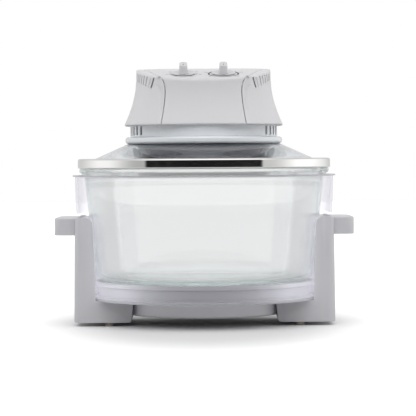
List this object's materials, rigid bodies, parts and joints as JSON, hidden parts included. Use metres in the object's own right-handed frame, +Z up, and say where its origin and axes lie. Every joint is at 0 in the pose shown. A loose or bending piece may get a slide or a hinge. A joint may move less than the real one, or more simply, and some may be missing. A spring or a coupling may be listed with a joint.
{
  "type": "halogen oven",
  "caption": "Halogen oven: glass bowl in a clear shell between two handled legs, under a lift-off glass lid with a power head, two knobs and a folding handle.",
  "frame": {"origin": "on the floor, at the middle of the oven's footprint, straight below the centre of the bowl", "axes": "+Z up, +X towards the right-hand leg seen from the front, the front with the knobs faces -Y"},
  "size_m": [0.3722, 0.3308, 0.3272],
  "materials": {
    "shell_white": "satin-gloss white moulding",
    "cover_grey": "fine satin, pale cool grey",
    "collar_blue": "glossy pale blue white",
    "clear_glass": "clear, faint green edge",
    "lid_glass": "clear, faint blue grey",
    "clear_shell": "clear moulded polycarbonate",
    "polished_steel": "polished stainless steel",
    "bright_steel": "bright rolled steel",
    "zinc_steel": "zinc plated",
    "aluminium": "cast and pressed",
    "foot_rubber": "beige rubber",
    "seal_silicone": "translucent pale silicone",
    "lamp_glass": "quartz tube",
    "ceramic": "white steatite",
    "fibre": "pressed mineral fibre",
    "copper": "enamelled copper winding",
    "bronze": "sintered bronze",
    "knob_grey": "pale grey moulding",
    "part_black": "black moulding"
  },
  "bodies": {
    "base": {"left_leg": "shell_white", "right_leg": "shell_white", "base_tray": "shell_white", "base_pan": "shell_white", "outer_shell": "clear_shell", "rubber_feet": "foot_rubber", "seat_pads": "seal_silicone", "pan_screws": "zinc_steel", "leg_screws": "zinc_steel"},
    "bowl": {"glass_bowl": "clear_glass"},
    "lid": {"lid_glass": "lid_glass", "lid_rim": "polished_steel", "lid_gasket": "seal_silicone", "clamp_ring": "collar_blue", "ring_seal": "seal_silicone", "motor_plate": "zinc_steel", "vent_collar": "collar_blue", "lamp_housing": "bright_steel", "lamp_guard": "bright_steel", "halogen_lamp": "lamp_glass", "lamp_holders": "ceramic", "lamp_clips": "bright_steel", "insulation_pad": "fibre", "spacers": "zinc_steel", "housing_screws": "zinc_steel", "motor_bracket": "zinc_steel", "motor_stator": "zinc_steel", "motor_coil": "copper", "bearing_bridge": "zinc_steel", "shaft_bushes": "bronze", "centre_cover": "cover_grey", "left_shoulder": "cover_grey", "right_shoulder": "cover_grey", "timer": "part_black", "thermostat": "part_black", "cord_gland": "part_black", "terminal_block": "ceramic", "thermal_cutout": "ceramic", "safety_switch": "part_black", "cover_screws": "zinc_steel", "pivot_pins": "zinc_steel"},
    "timer_dial": {"timer_knob": "knob_grey", "timer_spindle": "zinc_steel"},
    "thermostat_dial": {"thermostat_knob": "knob_grey", "thermostat_spindle": "zinc_steel"},
    "fan_shaft": {"motor_shaft": "zinc_steel", "hot_fan": "aluminium", "cooling_fan": "part_black", "motor_rotor": "aluminium"},
    "bail": {"carry_handle": "cover_grey"}
  },
  "joints": [
    {"name": "bowl_lift", "type": "slide", "parent": "base", "child": "bowl", "axis": [0, 0, 1], "range_m": [0, 0.18]},
    {"name": "lid_lift", "type": "slide", "parent": "bowl", "child": "lid", "axis": [0, 0, 1], "range_m": [0, 0.12]},
    {"name": "timer_turn", "type": "hinge", "parent": "lid", "child": "timer_dial", "pos_m": [-0.0248, -0.052, 0.31126], "axis": [0, 0.225, -0.9744], "range_deg": [0, 300]},
    {"name": "thermostat_turn", "type": "hinge", "parent": "lid", "child": "thermostat_dial", "pos_m": [0.0248, -0.052, 0.31126], "axis": [0, 0.225, -0.9744], "range_deg": [0, 270]},
    {"name": "fan_spin", "type": "hinge", "parent": "lid", "child": "fan_shaft", "pos_m": [0, 0, 0.26], "axis": [0, 0, 1], "continuous": true},
    {"name": "handle_swing", "type": "hinge", "parent": "lid", "child": "bail", "pos_m": [0, -0.014, 0.31083], "axis": [1, 0, 0], "range_deg": [0, 90]}
  ]
}
